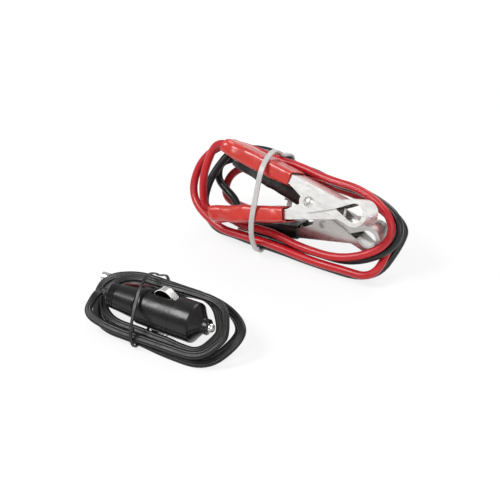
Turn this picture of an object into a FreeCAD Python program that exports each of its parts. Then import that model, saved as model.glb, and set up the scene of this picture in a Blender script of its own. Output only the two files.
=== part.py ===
import FreeCAD, Part
import math
import os

# Lead set of a car battery charger: two battery clips on a red and a black lead, bound in a
# hank by a clear strap, and a lighter plug whose twin cord is bound in a hank of its own.
# Millimetres, +Z up. X runs along both hanks, the clamp hank lies behind (+Y), and the
# origin is the point of the resting plane midway between the two hanks.

V = FreeCAD.Vector
os.makedirs("parts", exist_ok=True)

# Sheet metal of the clips
sheet = 0.9
channel_width = 13.65
half_gap = 0.3
jaw_centre = 26.7
jaw_radius = 7.3
jaw_hole_radius = 4.9
jaw_hole_apex = 16.2
jaw_shoulder_x = 18.0
jaw_shoulder_y = 5.1
jaw_shoulder_angle = 116.0
jaw_joggle_x = 14.6
notch_width = 4.2
notch_depth = 1.5
handle_end_x = -44.0
handle_root_x = -12.6
handle_slope = 12.6
handle_flange = 5.4
hinge_lobe_radius = 5.5
hinge_ear_radius = 5.2

# Rivet, spring and wire end of a clip
rivet_radius = 1.6
rivet_head_radius = 3.0
rivet_head_height = 1.5
rivet_tail_radius = 1.95
rivet_tail_height = 0.9
rivet_dimple_radius = 0.95
fixed_fit = 0.03
running_fit = 0.06
spring_wire = 1.1
spring_radius = 3.2
spring_turns = 4
spring_pitch = 1.55
spring_arm = 11.0
crimp_start_x = -20.0
conductor_length = 7.0
conductor_radius = 1.2
crimp_wall = 0.85
crimp_length = 5.0

# Soft sleeves on the handles
sleeve_wall = 0.7
sleeve_start_x = -13.2
sleeve_end_x = -57.0
short_sleeve_end_x = -46.0
sleeve_root_height = 7.45
sleeve_body_height = 8.7
black_sleeve_body_height = 7.6
sleeve_end_height = 8.2
black_sleeve_end_height = 7.0
sleeve_side_room = 0.975
sleeve_root_width = channel_width + 2 * sleeve_side_room
sleeve_body_width = sleeve_root_width
sleeve_end_width = 15.9
sleeve_corner = 1.9

# Where each clip lies, from its rivet
clamp_hank_x = 4.6
clamp_hank_y = 33.9
clamp_hank_z = 5.7
clamp_hank_lean = 62.0
red_clip_at = (16.3, 32.0, 21.2)
red_clip_yaw = -4.7
red_clip_lean = 29.3
red_clip_pitch = 5.2
black_clip_at = (16.9, 19.4, -2.9)
black_clip_yaw = 0.0
black_clip_lean = 12.9
black_clip_pitch = -1.9
red_clip_travel = 20.0
black_clip_travel = 4.8

# Leads and cord
lead_diameter = 4.3
cord_diameter = 4.2
core_radius = 0.6
floor_cut = 0.5
terminal_sleeve_radius = 2.3
terminal_sleeve_length = 12.0
terminal_pin_radius = 1.6
terminal_pin_length = 9.0

# Straps
strap_width = 2.7
strap_thickness = 1.0
strap_x = -14.4
strap_lean = 0.0725
strap_head = (5.0, 4.4, 3.6)
wire_tie_width = 1.4
wire_tie_thickness = 0.8
wire_tie_x = -7.6
wire_tie_lean = -0.15
wire_tie_knob_radius = 1.5

# Lighter plug, measured along its axis from the rear face
plug_rear_x = -45.5
plug_y = -56.2
plug_z = 15.65
plug_wall = 1.7
grip_rear_radius = 6.4
grip_front_radius = 8.1
grip_length = 17.4
grip_spigot_length = 5.0
grip_ring_count = 4
grip_ring_pitch = 1.0
grip_ring_depth = 0.35
barrel_end = 38.7
barrel_rear_radius = 9.7
barrel_front_radius = 10.4
barrel_rounding = 1.6
nose_radius = 10.4
nose_shoulder = 50.4
nose_edge_length = 1.2
nose_cone_end = 54.6
nose_collar_radius = 4.1
nose_end = 57.3
nose_seam_gap = 0.15
pin_ball_radius = 2.45
pin_ball_at = 60.4
pin_shaft_radius = 2.2
pin_flange_radius = 3.7
pin_flange_length = 1.4
pin_travel = 2.6
fuse_radius = 3.15
fuse_length = 30.0
fuse_cap_length = 6.0
fuse_cap_wall = 0.35
pin_spring_wire = 0.7
pin_spring_radius = 2.4
pin_spring_length = 7.4
pin_spring_turns = 4
terminal_disc_length = 1.2
carrier_radius = 5.0
carrier_wall = 1.3
contact_width = 5.0
contact_sheet = 0.5
contact_rear = 25.6
contact_peak = 30.8
contact_front = 39.6
contact_peak_radius = 12.9
contact_rear_radius = 9.7
contact_front_radius = 7.8
contact_angle = 78.0
contact_travel = 9.0
slot_clearance = 0.4
relief_length = 2.6
relief_radius = 3.4
relief_tip_radius = 2.7

# Low-voltage connector on the far end of the plug's cord
connector_body_length = 20.0
connector_body_radius = 4.5
connector_shell_radius = 2.75
connector_shell_length = 9.5
connector_shell_wall = 0.4
connector_insulator_radius = 1.9
connector_bore_radius = 1.05
connector_at = (-33.6, -29.6, 4.6)
connector_yaw = 184.0
plug_hank_y = -68.9
plug_hank_z = 4.05
plug_hank_x = -15.2
plug_hank_lean = 30.0

fit_gap = 0.3
FAR = 400.0


def cos(degrees):
    return math.cos(math.radians(degrees))


def sin(degrees):
    return math.sin(math.radians(degrees))


def tan(degrees):
    return math.tan(math.radians(degrees))


def save(name, shape):
    shape.exportStep("parts/" + name + ".step")
    solids = len(shape.Solids)
    print("%-28s solids %d volume %9.1f valid %s" % (name, solids, shape.Volume, shape.isValid()))


class Frame:
    """A right-handed set of axes: local (a, b, c) to the part's X, Y, Z."""

    def __init__(self, origin, axis_a, axis_b, axis_c):
        self.origin = origin
        self.axes = (axis_a, axis_b, axis_c)

    def vector(self, a, b, c):
        return self.axes[0] * a + self.axes[1] * b + self.axes[2] * c

    def point(self, a, b, c):
        return self.origin + self.vector(a, b, c)

    def place(self, shape):
        a, b, c = self.axes
        matrix = FreeCAD.Matrix(a.x, b.x, c.x, self.origin.x,
                                a.y, b.y, c.y, self.origin.y,
                                a.z, b.z, c.z, self.origin.z,
                                0, 0, 0, 1)
        placed = shape.copy()
        placed.Placement = FreeCAD.Placement(matrix).multiply(shape.Placement)
        return placed


def hank_frame(x, y, z, lean):
    across = V(0, cos(lean), sin(lean))
    front = V(0, -sin(lean), cos(lean))
    return Frame(V(x, y, z), V(1, 0, 0), across, front)


def clip_frame(at, yaw, lean, pitch, flipped):
    """Axes of a clip: along it to the jaw, up from one handle to the other, and the rivet's."""
    turn = FreeCAD.Rotation(V(0, 0, 1), yaw)
    level = V(1, 0, 0)
    rise = V(0, sin(lean), cos(lean))
    along = turn.multVec(level * cos(pitch) + rise * sin(pitch))
    up = turn.multVec(rise * cos(pitch) - level * sin(pitch))
    front = along.cross(up)
    rivet = clamp_hank.point(*at) - front * (channel_width / 2)
    if flipped:
        up = up * -1
        front = front * -1
    return Frame(rivet, along, up, front)


def polygon_face(points, z):
    wire = Part.makePolygon([V(x, y, z) for x, y in points + points[:1]])
    return Part.Face(wire)


def edges_face(edges):
    return Part.Face(Part.Wire(Part.__sortEdges__(edges)))


def line(start, end):
    return Part.LineSegment(V(start[0], start[1], 0), V(end[0], end[1], 0)).toShape()


def arc(centre, radius, start, end):
    """Arc in the XY plane from one angle to another, in degrees, the shorter way that is given."""
    middle = (start + end) / 2
    points = [V(centre[0] + radius * cos(a), centre[1] + radius * sin(a), 0) for a in (start, middle, end)]
    return Part.Arc(*points).toShape()


def on_circle(centre, radius, angle):
    return (centre[0] + radius * cos(angle), centre[1] + radius * sin(angle))


def prism(face, low, high):
    lowered = face.copy()
    lowered.translate(V(0, 0, low))
    return lowered.extrude(V(0, 0, high - low))


def cylinder(radius, start, end, axis_x=0.0, axis_y=0.0):
    return Part.makeCylinder(radius, end - start, V(axis_x, axis_y, start), V(0, 0, 1))


# Clip halves, in the clip's own axes

def half_outline():
    """Side plate of one half: handle, hinge lobe and half jaw, with its hole side open."""
    root_top = jaw_shoulder_y + (jaw_shoulder_x - handle_root_x) * tan(handle_slope)
    end_top = jaw_shoulder_y + (jaw_shoulder_x - handle_end_x) * tan(handle_slope)
    centre = (jaw_centre, 0)
    rise = half_gap / 2
    tip_angle = math.degrees(math.asin(rise / jaw_radius))
    hole_tip_angle = math.degrees(math.asin(rise / jaw_hole_radius))
    apex_angle = math.degrees(math.asin(jaw_hole_radius / (jaw_centre - jaw_hole_apex)))
    hole_angle = 90 + apex_angle
    seam_angle = math.degrees(math.asin(hinge_lobe_radius / jaw_hole_apex))
    lobe_angle = -90 + seam_angle
    end_low = (handle_end_x, end_top - handle_flange)
    root_low = (handle_root_x, root_top - handle_flange)
    edges = [
        line((handle_end_x, end_top), (jaw_shoulder_x, jaw_shoulder_y)),
        line((jaw_shoulder_x, jaw_shoulder_y), on_circle(centre, jaw_radius, jaw_shoulder_angle)),
        arc(centre, jaw_radius, jaw_shoulder_angle, tip_angle),
        line(on_circle(centre, jaw_radius, tip_angle), on_circle(centre, jaw_hole_radius, hole_tip_angle)),
        arc(centre, jaw_hole_radius, hole_tip_angle, hole_angle),
        line(on_circle(centre, jaw_hole_radius, hole_angle), (jaw_hole_apex, rise)),
        line((jaw_hole_apex, rise), on_circle((0, 0), hinge_lobe_radius, lobe_angle)),
        arc((0, 0), hinge_lobe_radius, lobe_angle, -200),
        line(on_circle((0, 0), hinge_lobe_radius, -200), root_low),
        line(root_low, end_low),
        line(end_low, (handle_end_x, end_top)),
    ]
    return edges_face(edges)


def channel_core(width):
    """Space inside the channel, one sheet below its web."""
    slope = tan(handle_slope)
    drop = sheet / cos(handle_slope)
    inner_radius = jaw_radius - sheet
    centre = (jaw_centre, 0)
    meet = on_circle(centre, inner_radius, jaw_shoulder_angle)
    start_top = jaw_shoulder_y + (jaw_shoulder_x - handle_end_x + 5) * slope - drop
    shoulder_top = jaw_shoulder_y - drop
    floor = -20.0
    tip = on_circle(centre, inner_radius, 0)
    edges = [
        line((handle_end_x - 5, start_top), (jaw_shoulder_x, shoulder_top)),
        line((jaw_shoulder_x, shoulder_top), meet),
        arc(centre, inner_radius, jaw_shoulder_angle, 0),
        line(tip, (tip[0], floor)),
        line((tip[0], floor), (handle_end_x - 5, floor)),
        line((handle_end_x - 5, floor), (handle_end_x - 5, start_top)),
    ]
    return prism(edges_face(edges), -width / 2 + sheet, width / 2 - sheet)


def channel(width):
    return prism(half_outline(), -width / 2, width / 2).cut(channel_core(width))


def notch():
    """Half of the lozenge that the two webs leave open at the jaw's tip."""
    tip = jaw_centre + jaw_radius
    side = notch_width / 2
    points = [V(tip - 3, 0, -side), V(tip - 3, notch_depth, 0), V(tip - 3, 0, side)]
    low = [V(tip - 3, -1, side), V(tip - 3, -1, -side)]
    face = Part.Face(Part.makePolygon(points + low + points[:1]))
    return face.extrude(V(6, 0, 0))


def box(x_low, x_high, y_low, y_high, z_low, z_high):
    return Part.makeBox(x_high - x_low, y_high - y_low, z_high - z_low, V(x_low, y_low, z_low))


def outer_half():
    half = channel(channel_width).cut(notch())
    hole = cylinder(rivet_radius + fixed_fit, -channel_width, channel_width)
    return half.cut(hole).removeSplitter()


def inner_half():
    """The half whose hinge plates lie inside the other's; its jaw is joggled out to full width."""
    narrow = channel_width - 2 * (sheet + half_gap)
    wide_jaw = channel(channel_width).common(box(jaw_joggle_x, FAR, -FAR, FAR, -FAR, FAR))
    rear = channel(narrow).common(box(-FAR, jaw_joggle_x + sheet, -FAR, FAR, -FAR, FAR))
    lap_outline = half_outline().common(
        Part.makePlane(sheet, 2 * FAR, V(jaw_joggle_x, -FAR, 0)))
    lap = prism(lap_outline.Faces[0], channel_width / 2 - sheet - half_gap - 0.01, channel_width / 2)
    lap = lap.fuse(lap.mirror(V(0, 0, 0), V(0, 0, 1)))
    seam = prism(polygon_face([(jaw_joggle_x - 2, 1.9), (jaw_hole_apex + 0.1, half_gap * 1.2),
                               (jaw_hole_apex + 0.1, -FAR), (jaw_joggle_x - 2, -FAR)], 0), -FAR, FAR)
    half = wide_jaw.fuse(lap).cut(seam).fuse(rear).cut(notch())
    hole = cylinder(rivet_radius + running_fit, -channel_width, channel_width)
    half = half.cut(hole).removeSplitter()
    return half.mirror(V(0, 0, 0), V(0, 1, 0))


def rivet():
    half = channel_width / 2
    shaft = cylinder(rivet_radius, -half - rivet_tail_height, half + 0.2)
    ball_radius = (rivet_head_radius ** 2 + rivet_head_height ** 2) / (2 * rivet_head_height)
    ball = Part.makeSphere(ball_radius, V(0, 0, half + rivet_head_height - ball_radius))
    head = ball.common(cylinder(rivet_head_radius, half, half + rivet_head_height + 1))
    tail = cylinder(rivet_tail_radius, -half - rivet_tail_height, -half)
    tail = tail.makeFillet(0.5, [tail.Edges[i] for i in range(3) if abs(
        tail.Edges[i].CenterOfMass.z + half + rivet_tail_height) < 0.01])
    dimple = cylinder(rivet_dimple_radius, -half - 2, -half + 1.2)
    return shaft.fuse([head, tail]).cut(dimple).removeSplitter()


def biarc(start, start_tangent, end, end_tangent, end_reach):
    """Two arcs that join two points with given directions; end_reach is the second tangent's length."""
    chord = end - start
    along_start = chord.dot(start_tangent)
    along_end = chord.dot(end_tangent)
    turn = start_tangent.dot(end_tangent) - 1
    top = chord.dot(chord) - 2 * end_reach * along_end
    start_reach = top / (2 * (along_start - end_reach * turn))
    knee = start + start_tangent * start_reach
    ankle = end - end_tangent * end_reach
    joint = (knee * end_reach + ankle * start_reach) * (1 / (start_reach + end_reach))
    return [through_corner(start, knee, joint), through_corner(joint, ankle, end)]


def through_corner(start, corner, end):
    """Arc that leaves start towards corner and arrives at end from it."""
    middle = (start + end) * 0.5
    half_chord = (end - start).Length / 2
    reach = (corner - start).Length
    rise = (corner - middle).Length
    if rise < 1e-4 * half_chord:
        return Part.LineSegment(start, end).toShape()
    angle = math.acos(min(1.0, half_chord / reach))
    sagitta = half_chord * math.tan(angle / 2)
    return Part.Arc(start, middle + (corner - middle) * (sagitta / rise), end).toShape()


def quarter(start, start_tangent, end, end_tangent, radius, tight_end):
    """Quarter turn of a loop: a long flat arc and an end arc of about the given radius."""
    if not tight_end:
        edges = quarter(end, end_tangent * -1, start, start_tangent * -1, radius, True)
        return [reverse_edge(edge) for edge in reversed(edges)]
    chord = end - start
    reach = abs(chord.dot(start_tangent))
    drop = abs(chord.dot(end_tangent))
    radius = min(radius, 0.9 * drop, 0.9 * reach)
    flat = ((reach - radius) ** 2 + drop ** 2 - radius ** 2) / (2 * (drop - radius))
    swept = math.asin(min(1.0, (reach - radius) / (flat - radius)))
    return biarc(start, start_tangent, end, end_tangent, radius * math.tan((math.pi / 2 - swept) / 2))


def reverse_edge(edge):
    first, last = edge.ParameterRange
    points = [edge.valueAt(last), edge.valueAt((first + last) / 2), edge.valueAt(first)]
    if isinstance(edge.Curve, Part.Line):
        return Part.LineSegment(points[0], points[2]).toShape()
    return Part.Arc(*points).toShape()


def tube(edges, radius):
    wire = Part.Wire(edges)
    start = edges[0].valueAt(edges[0].ParameterRange[0])
    direction = edges[0].tangentAt(edges[0].ParameterRange[0])
    profile = Part.Wire([Part.makeCircle(radius, start, direction)])
    return wire.makePipeShell([profile], True, False)


def length_of(edges):
    return sum(edge.Length for edge in edges)


def smallest_radius(edges):
    return min([edge.Curve.Radius for edge in edges if hasattr(edge.Curve, "Radius")] or [0])


def least_gap(edges, diameter):
    """Smallest clear distance of a wound tube to itself, on points spaced along it."""
    step = 1.5
    points = []
    travelled = 0.0
    for edge in edges:
        first, last = edge.ParameterRange
        count = max(2, int(edge.Length / step))
        for i in range(count):
            points.append((travelled + edge.Length * i / count, edge.valueAt(first + (last - first) * i / count)))
        travelled += edge.Length
    gap = FAR
    for i, (place, point) in enumerate(points):
        for other_place, other in points[i + 1:]:
            if other_place - place > 4 * diameter:
                gap = min(gap, (other - point).Length - diameter)
    return gap


def report(name, edges, diameter):
    print("%-28s length %6.1f least gap to itself %5.2f smallest radius %5.1f" % (
        name, length_of(edges), least_gap(edges, diameter), smallest_radius(edges)))


def even_reach(start, start_tangent, end, end_tangent):
    """Tangent length that both ends of a pair of arcs can share."""
    chord = end - start
    both = 2 * chord.dot(start_tangent + end_tangent)
    turn = 2 * (1 - start_tangent.dot(end_tangent))
    if turn < 1e-6:
        return chord.dot(chord) / both
    return (math.sqrt(both ** 2 + 4 * turn * chord.dot(chord)) - both) / (2 * turn)


def wind(frame, here, heading, stations):
    """Edges through stations (a, b, c, direction, end radius); radius 0 takes two even arcs."""
    edges = []
    for a, b, c, direction, radius in stations:
        point = frame.point(a, b, c)
        tangent = frame.vector(*direction).normalize()
        if radius:
            tight_end = abs(heading.dot(frame.axes[0])) > abs(heading.dot(frame.axes[1]))
            edges += quarter(here, heading, point, tangent, radius, tight_end)
        else:
            edges += biarc(here, heading, point, tangent, even_reach(here, heading, point, tangent))
        here = point
        heading = tangent
    return edges


def torsion_spring():
    """Coil round the rivet with one arm along each handle."""
    edges = []
    rise = spring_pitch / 4
    start_z = -spring_turns * spring_pitch / 2
    for step in range(4 * spring_turns + 2):
        angles = [90 * step, 90 * step + 45, 90 * step + 90]
        z = [start_z + rise * (step + part) for part in (0, 0.5, 1)]
        points = [V(spring_radius * cos(a - 90), spring_radius * sin(a - 90), h) for a, h in zip(angles, z)]
        edges.append(Part.Arc(*points).toShape())
    return edges


def handle_line(x):
    """Height of the lead's centre above the clip's axis, inside the handle's channel."""
    top = jaw_shoulder_y + (jaw_shoulder_x - x) * tan(handle_slope)
    return top - sheet - 0.15 - lead_diameter / 2


def sleeve_section(x, centre, height, width, inset, slope):
    corner = max(0.3, sleeve_corner - inset)
    half_height = height / 2 - inset
    half_width = width / 2 - inset
    edges = []
    corners = [(1, 1, 0), (-1, 1, 90), (-1, -1, 180), (1, -1, 270)]
    previous = None
    first = None
    for side, level, angle in corners:
        cz = side * (half_width - corner)
        cy = level * (half_height - corner)
        points = [(cz + corner * cos(angle + a), cy + corner * sin(angle + a)) for a in (0, 45, 90)]
        if previous:
            edges.append((previous, points[0]))
        else:
            first = points[0]
        edges.append(tuple(points))
        previous = points[2]
    edges.append((previous, first))
    wire_edges = []
    for item in edges:
        placed = [V(x - y * sin(slope), centre + y * cos(slope), z) for z, y in item]
        if len(placed) == 2:
            wire_edges.append(Part.LineSegment(*placed).toShape())
        else:
            wire_edges.append(Part.Arc(*placed).toShape())
    return Part.Wire(wire_edges)


def sleeve(end_x, body_height, end_height):
    """Soft sleeve of one handle, pulled wide over the channel and pressed flat at its end."""
    slope = -handle_slope
    middle_x = (sleeve_start_x + end_x) / 2
    stations = [
        (sleeve_start_x, sleeve_root_height, sleeve_root_width),
        (sleeve_start_x - 7, (body_height + sleeve_root_height) / 2, sleeve_body_width - 0.2),
        (middle_x, body_height, sleeve_body_width),
        (end_x + 9, body_height, sleeve_body_width),
        (end_x, end_height, sleeve_end_width),
    ]
    shells = []
    for inset in (0, sleeve_wall):
        wires = []
        for x, height, width in stations:
            centre = jaw_shoulder_y + (jaw_shoulder_x - x) * tan(handle_slope) - handle_flange / 2
            centre -= (height - sleeve_root_height) * 0.35
            wires.append(sleeve_section(x, centre, height, width, inset, slope))
        shells.append(Part.makeLoft(wires, True, False))
    return shells[0].cut(shells[1])


clamp_hank = hank_frame(clamp_hank_x, clamp_hank_y, clamp_hank_z, clamp_hank_lean)
plug_hank = hank_frame(plug_hank_x, plug_hank_y, plug_hank_z, plug_hank_lean)
red_clip = clip_frame(red_clip_at, red_clip_yaw, red_clip_lean, red_clip_pitch, False)
black_clip = clip_frame(black_clip_at, black_clip_yaw, black_clip_lean, black_clip_pitch, True)



RIGHT = (1, 0, 0)
LEFT = (-1, 0, 0)
UP = (0, 1, 0)
DOWN = (0, -1, 0)


def straight(start, heading, length):
    return Part.LineSegment(start, start + heading * length).toShape()


def lead_start(frame, straight_end_x):
    """Straight run of a lead from its crimp along the handle."""
    start = frame.point(crimp_start_x, handle_line(crimp_start_x), 0)
    heading = frame.vector(-cos(handle_slope), sin(handle_slope), 0)
    run = (crimp_start_x - straight_end_x) / cos(handle_slope)
    return start, heading, run


def lead(colour, frame, straight_end_x, stations, floor):
    """One lead from its crimp, round the hank, to its bullet terminal; returns its end and heading."""
    start, heading, run = lead_start(frame, straight_end_x)
    edges = [straight(start, heading, run)]
    edges += wind(clamp_hank, start + heading * run, heading, stations)
    a, b, c, direction, _ = stations[-1]
    end = clamp_hank.point(a, b, c)
    end_heading = clamp_hank.vector(*direction).normalize()
    edges.append(straight(end, end_heading, lead_diameter))
    report(colour + " lead", edges, lead_diameter)
    solid = tube(edges, lead_diameter / 2)
    if floor:
        solid = solid.cut(box(-FAR, FAR, -FAR, FAR, -FAR, 0))
    save(colour + "_lead", solid)
    core = Part.makeCylinder(conductor_radius, conductor_length, start, heading * -1)
    save(colour + "_lead_conductor", core)
    tip = end + end_heading * lead_diameter
    grip = Part.makeCylinder(terminal_sleeve_radius, terminal_sleeve_length, tip, end_heading)
    grip = grip.makeFillet(0.6, [edge for edge in grip.Edges if edge.Length > 2 * terminal_sleeve_radius
                                 and len(edge.Vertexes) == 1])
    pin_start = tip + end_heading * (terminal_sleeve_length + 0.02)
    pin = Part.makeCylinder(terminal_pin_radius, terminal_pin_length, pin_start, end_heading)
    ball_end = pin_start + end_heading * terminal_pin_length
    far_edges = [edge for edge in pin.Edges if len(edge.Vertexes) == 1
                 and (edge.CenterOfMass - ball_end).Length < 0.1]
    pin = pin.makeFillet(terminal_pin_radius * 0.6, far_edges)
    save(colour + "_terminal_sleeve", grip)
    save(colour + "_terminal_pin", pin)


red_route = [
    (-54.0, 27, 4.8, DOWN, 0),
    (-38, 8.3, -0.9, RIGHT, 12),
    (-25, 7.3, 1.6, (1, 0.02, 0.12), 0),
    (-13, 7.9, 2.3, RIGHT, 0),
    (18, 5.2, 3.7, RIGHT, 0),
    (57.3, 25.5, 2.2, UP, 13),
    (24, 43.6, 0.6, LEFT, 13),
    (-12, 46.2, -1.2, LEFT, 0),
    (-36, 47.9, -2.0, LEFT, 0),
    (-62.0, 27, -1.5, DOWN, 17),
    (-28, 2.2, 4.4, RIGHT, 23),
    (-15, 2.2, 4.4, RIGHT, 0),
    (27, 0.0, 2.6, RIGHT, 0),
    (37, 0.2, 2.3, RIGHT, 0),
    (54.6, 24, -10.5, UP, 13),
    (10, 38.6, -15.2, LEFT, 10),
    (-28, 38.0, -15.3, LEFT, 0),
    (-50.2, 23, -17.6, DOWN, 12),
    (-30, 12.6, -24.6, RIGHT, 0),
]
black_route = [
    (-43.6, 19.6, -11.5, (-0.87, 0.48, 0), 0),
    (-54.6, 30.5, -13.0, UP, 0),
    (-24, 41.4, -19.8, RIGHT, 8),
    (10, 40.8, -19.6, RIGHT, 0),
    (57.4, 22, -18.0, DOWN, 12),
    (28, -2.2, -4.6, LEFT, 12),
    (-15, -0.6, -2.8, LEFT, 0),
    (-38, 0.0, -4.6, LEFT, 0),
    (-55.4, 18, -5.5, UP, 0),
    (-50.8, 36.5, -7.2, (0.42, 0.90, -0.12), 0),
    (-29, 47.6, -15.6, RIGHT, 0),
    (-2, 44.2, -10.8, (1, 0, 0.17), 0),
    (24, 42.0, -4.4, RIGHT, 0),
    (60.7, 25, -1.4, DOWN, 13),
    (22, 4.3, -0.8, LEFT, 13),
    (-4, 3.9, -0.7, LEFT, 0),
]


def crimp():
    """Barrel that is folded round the stripped wire, on a foot under the handle's web."""
    barrel = Part.makeCylinder(conductor_radius + crimp_wall, crimp_length)
    foot_width = 1.8
    foot = box(-foot_width / 2, foot_width / 2, 0, lead_diameter / 2 + 0.6, 0, crimp_length)
    whole = barrel.fuse(foot).cut(Part.makeCylinder(conductor_radius + fixed_fit, crimp_length))
    slope = handle_slope
    start_x = crimp_start_x + 1.0
    local = Frame(V(start_x, handle_line(start_x), 0), V(0, 0, -1), V(sin(slope), cos(slope), 0),
                  V(cos(slope), -sin(slope), 0))
    return local.place(whole.removeSplitter())


def make_clip(colour, frame, outer_end_x, inner_end_x, height, end_height):
    outer = outer_half().fuse(crimp()).removeSplitter()
    save(colour + "_clip_outer_jaw", frame.place(outer))
    save(colour + "_clip_inner_jaw", frame.place(inner_half()))
    save(colour + "_clip_rivet", frame.place(rivet()))
    save(colour + "_clip_spring", frame.place(tube(torsion_spring(), spring_wire / 2)))
    save(colour + "_clip_outer_sleeve", frame.place(sleeve(outer_end_x, height, end_height)))
    mirrored = sleeve(inner_end_x, height, end_height).mirror(V(0, 0, 0), V(0, 1, 0))
    save(colour + "_clip_inner_sleeve", frame.place(mirrored))


make_clip("red", red_clip, sleeve_end_x, sleeve_end_x, sleeve_body_height, sleeve_end_height)
make_clip("black", black_clip, short_sleeve_end_x, sleeve_end_x,
          black_sleeve_body_height, black_sleeve_end_height)
lead("red", red_clip, sleeve_end_x, red_route, False)
lead("black", black_clip, short_sleeve_end_x, black_route, True)


# Lighter plug: turned pieces, with their axis along X from the rear face

plug_frame = Frame(V(plug_rear_x, plug_y, plug_z), V(1, 0, 0), V(0, 1, 0), V(0, 0, 1))


def turned(points):
    """Solid of revolution about the plug's axis from (distance along, radius) points."""
    wire = Part.makePolygon([V(x, r, 0) for x, r in points + points[:1]])
    return Part.Face(wire).revolve(V(0, 0, 0), V(1, 0, 0), 360)


def disc(radius, start, end, bore=0.0):
    solid = Part.makeCylinder(radius, end - start, V(start, 0, 0), V(1, 0, 0))
    if bore:
        solid = solid.cut(Part.makeCylinder(bore, end - start, V(start, 0, 0), V(1, 0, 0)))
    return solid


barrel_bore = barrel_rear_radius - plug_wall
carrier_bore = carrier_radius - carrier_wall
rear_wall_end = plug_wall + 1.0
carrier_start = grip_length + grip_spigot_length + 1.0
cap_start = barrel_end + nose_seam_gap
rib_start = cap_start + 3.4
rib_end = rib_start + 3.2
carrier_end = rib_end + 1.0
cap_front_wall = nose_cone_end - 1.8
spring_seat = 12.0


def grip():
    inside = grip_rear_radius - plug_wall
    spigot = barrel_bore - running_fit
    points = [(0, relief_radius + fixed_fit), (0, grip_rear_radius - 0.5), (0.5, grip_rear_radius)]
    slope = (grip_front_radius - grip_rear_radius) / grip_length
    for ring in range(grip_ring_count):
        x = 1.4 + ring * grip_ring_pitch
        radius = grip_rear_radius + slope * x
        points += [(x - 0.3, radius), (x, radius - grip_ring_depth), (x + 0.3, radius)]
    points += [(grip_length - 0.6, grip_front_radius), (grip_length, grip_front_radius - 0.5)]
    points += [(grip_length, spigot), (grip_length + grip_spigot_length, spigot)]
    points += [(grip_length + grip_spigot_length, spigot - 1.2), (grip_length, inside + 0.6)]
    points += [(rear_wall_end, inside), (rear_wall_end, relief_radius + fixed_fit)]
    return turned(points)


def barrel():
    start = grip_length + 0.05
    round_end = start + barrel_rounding
    middle_x = start + barrel_rounding * (1 - cos(45))
    middle_r = barrel_rear_radius - barrel_rounding * (1 - sin(45))
    points = [(start, barrel_bore), (start, barrel_rear_radius - barrel_rounding), (middle_x, middle_r),
              (round_end, barrel_rear_radius), (barrel_end, barrel_front_radius), (barrel_end, barrel_bore)]
    return turned(points).cut(contact_slots())


def contact_slots():
    half = contact_width / 2 + slot_clearance
    slot = box(contact_rear - 1.2, barrel_end + 1, 0, FAR, -half, half)
    slot = slot.common(disc(FAR, 0, FAR))
    one = turn_about_axis(slot, contact_angle)
    return one.fuse(turn_about_axis(slot, contact_angle + 180))


def turn_about_axis(shape, angle):
    turned_shape = shape.copy()
    turned_shape.rotate(V(0, 0, 0), V(1, 0, 0), angle)
    return turned_shape


def nose_cap():
    wall = plug_wall
    hole = pin_ball_radius + running_fit
    rib = carrier_radius + running_fit
    points = [(cap_start, nose_radius - wall), (cap_start, nose_radius), (nose_shoulder - nose_edge_length, nose_radius)]
    points += [(nose_shoulder - 0.35, nose_radius - 0.3), (nose_shoulder, nose_radius - 1.0)]
    points += [(nose_cone_end, nose_collar_radius + 0.2), (nose_cone_end + 0.5, nose_collar_radius)]
    points += [(nose_end - 0.3, nose_collar_radius), (nose_end, nose_collar_radius - 0.3), (nose_end, hole)]
    points += [(cap_front_wall, hole), (cap_front_wall, pin_flange_radius + 0.4)]
    points += [(rib_end, nose_radius - wall - 1.6), (rib_end, rib), (rib_start, rib)]
    points += [(rib_start, nose_radius - wall)]
    return turned(points)


def centre_pin():
    flange_front = cap_front_wall - 0.1
    flange_back = flange_front - pin_flange_length
    shaft = disc(pin_shaft_radius, flange_back, pin_ball_at - pin_ball_radius)
    flange = disc(pin_flange_radius, flange_back, flange_front)
    ball = Part.makeSphere(pin_ball_radius, V(pin_ball_at - pin_ball_radius, 0, 0))
    return shaft.fuse([flange, ball]).removeSplitter()


fuse_front = cap_front_wall - 0.1 - pin_flange_length - 0.02
fuse_rear = fuse_front - fuse_length


def fuse_tube():
    radius = fuse_radius - fuse_cap_wall - fixed_fit
    return disc(radius, fuse_rear + 0.6, fuse_front - 0.6, radius - 0.7)


def fuse_caps():
    solids = []
    for closed, opened in ((fuse_rear, fuse_rear + fuse_cap_length), (fuse_front, fuse_front - fuse_cap_length)):
        low, high = min(closed, opened), max(closed, opened)
        cap = disc(fuse_radius, low, high)
        inside_low = low + 0.5 if closed == low else low
        inside_high = high if closed == low else high - 0.5
        solids.append(cap.cut(disc(fuse_radius - fuse_cap_wall, inside_low, inside_high)))
    return Part.makeCompound(solids)


def pin_spring():
    start = spring_seat + terminal_disc_length + pin_spring_wire / 2 + 0.02
    end = fuse_rear - pin_spring_wire / 2 - 0.02
    steps = 4 * pin_spring_turns
    edges = []
    for step in range(steps):
        points = []
        for part in (0, 0.5, 1):
            angle = 90 * (step + part)
            x = start + (end - start) * (step + part) / steps
            points.append(V(x, pin_spring_radius * cos(angle), pin_spring_radius * sin(angle)))
        edges.append(Part.Arc(*points).toShape())
    return tube(edges, pin_spring_wire / 2)


def rear_terminal():
    plate = disc(pin_flange_radius - 0.3, spring_seat, spring_seat + terminal_disc_length)
    tab = box(spring_seat - 3.6, spring_seat, -0.9, 0.9, -0.3, 0.3)
    return plate.fuse(tab).removeSplitter()


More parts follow.
